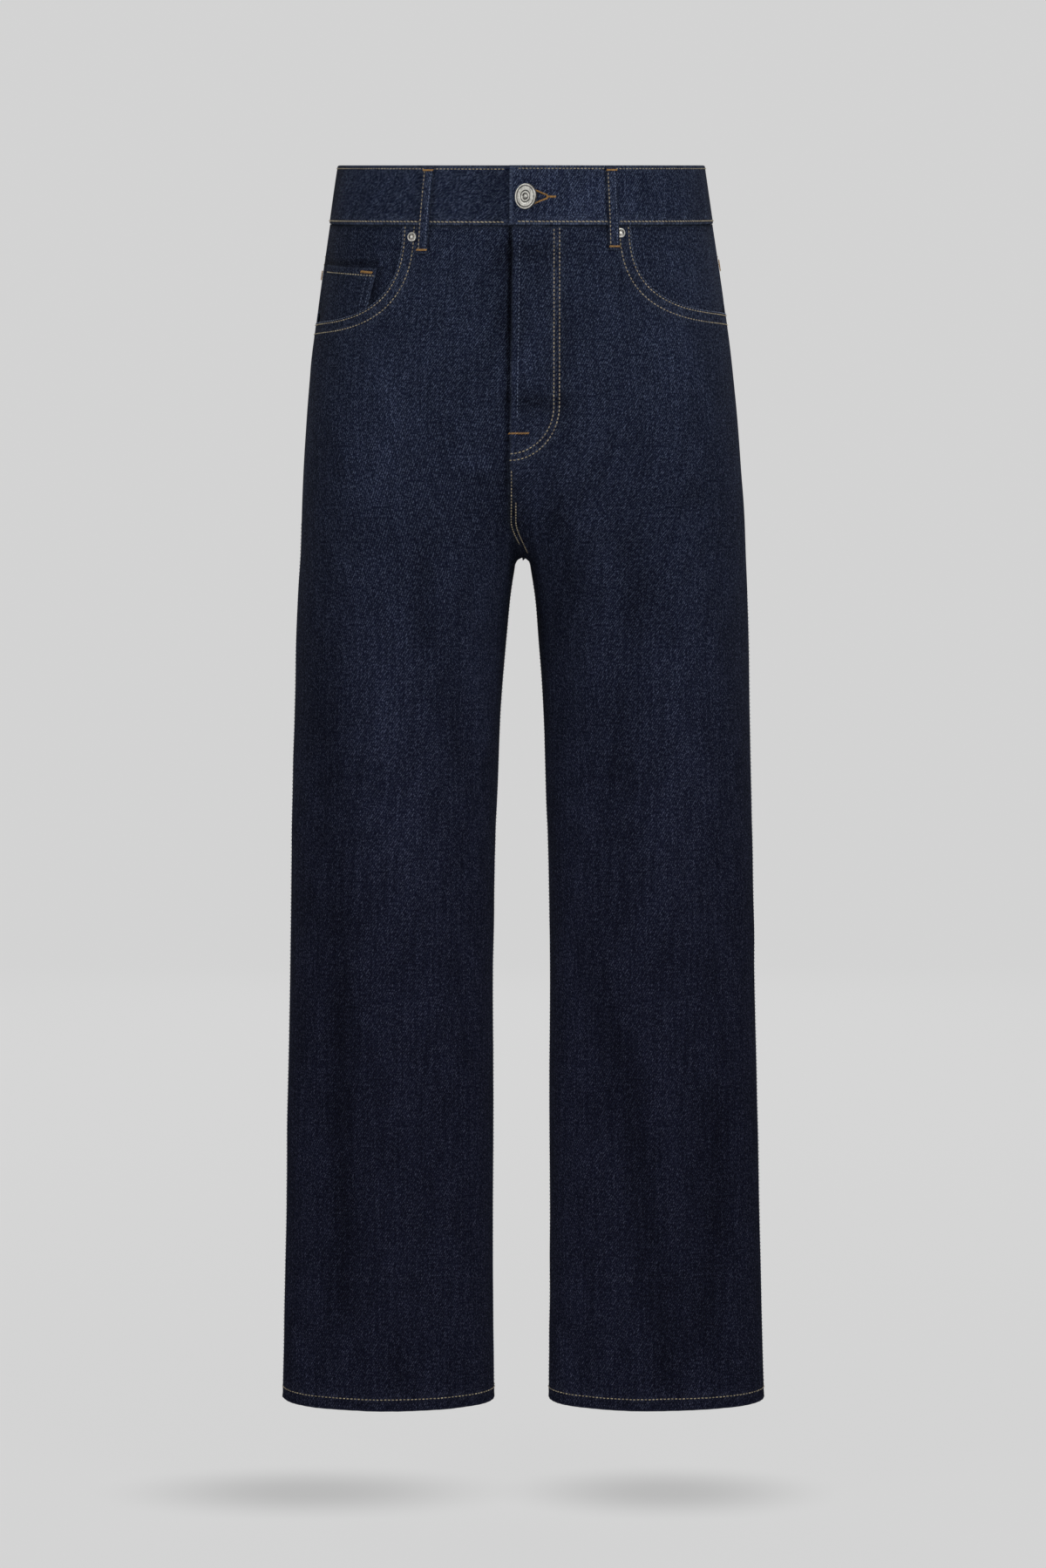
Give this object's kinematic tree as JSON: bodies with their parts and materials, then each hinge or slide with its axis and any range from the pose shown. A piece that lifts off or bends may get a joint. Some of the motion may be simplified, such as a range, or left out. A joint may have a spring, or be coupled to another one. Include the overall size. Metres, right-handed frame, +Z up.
{
  "type": "pair of straight-leg five-pocket jeans",
  "caption": "Dark indigo straight-leg jeans in their worn, hollow form, with scooped front pockets, a coin pocket, patch back pockets, belt loops and a metal fly button.",
  "frame": {"origin": "centre of the waist opening, half way up the waistband, where the wearer holds the garment up", "axes": "+Z up, the front faces -Y, the wearer's left is +X"},
  "size_m": [0.395, 0.261, 1.0091],
  "materials": {
    "denim": "rinsed dark indigo twill with fine pale specks",
    "waistband_denim": "rinsed dark indigo twill, a little paler along its edges",
    "silver_trim": "aged pale silver"
  },
  "bodies": {
    "root": {"front_right": "denim", "front_left": "denim", "back_right": "denim", "back_left": "denim", "yoke_right": "denim", "yoke_left": "denim", "pocket_facing_right": "denim", "pocket_facing_left": "denim", "coin_pocket": "denim", "back_pocket_right": "denim", "back_pocket_left": "denim", "waistband": "waistband_denim", "belt_loop_front_right": "waistband_denim", "belt_loop_front_left": "waistband_denim", "belt_loop_side_right": "waistband_denim", "belt_loop_side_left": "waistband_denim", "belt_loop_back": "waistband_denim", "fly_button": "silver_trim", "rivet_right": "silver_trim", "rivet_left": "silver_trim"}
  },
  "joints": []
}
